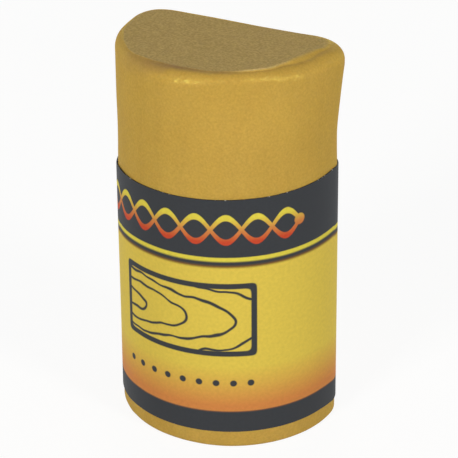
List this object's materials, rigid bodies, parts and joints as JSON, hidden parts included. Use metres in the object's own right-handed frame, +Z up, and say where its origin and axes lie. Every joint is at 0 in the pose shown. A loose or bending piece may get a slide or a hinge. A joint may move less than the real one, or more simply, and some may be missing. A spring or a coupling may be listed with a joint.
{
  "type": "furniture repair wax stick",
  "caption": "Half-round stick of soft filler wax with a sunken top face, wrapped in a lapped paper label, for filling scratches and dents in furniture.",
  "frame": {"origin": "on the axis of the round front, in the plane of the base", "axes": "+Z up along the stick, +X along the flat back, +Y from the round front to the flat back"},
  "size_m": [0.0326, 0.0223, 0.058],
  "materials": {
    "wax": "soft wax with a satin sheen",
    "printed_paper": "matte printed paper",
    "adhesive": "dried clear adhesive"
  },
  "bodies": {
    "root": {"wax_stick": "wax", "label": "printed_paper", "lap_adhesive": "adhesive"}
  },
  "joints": []
}
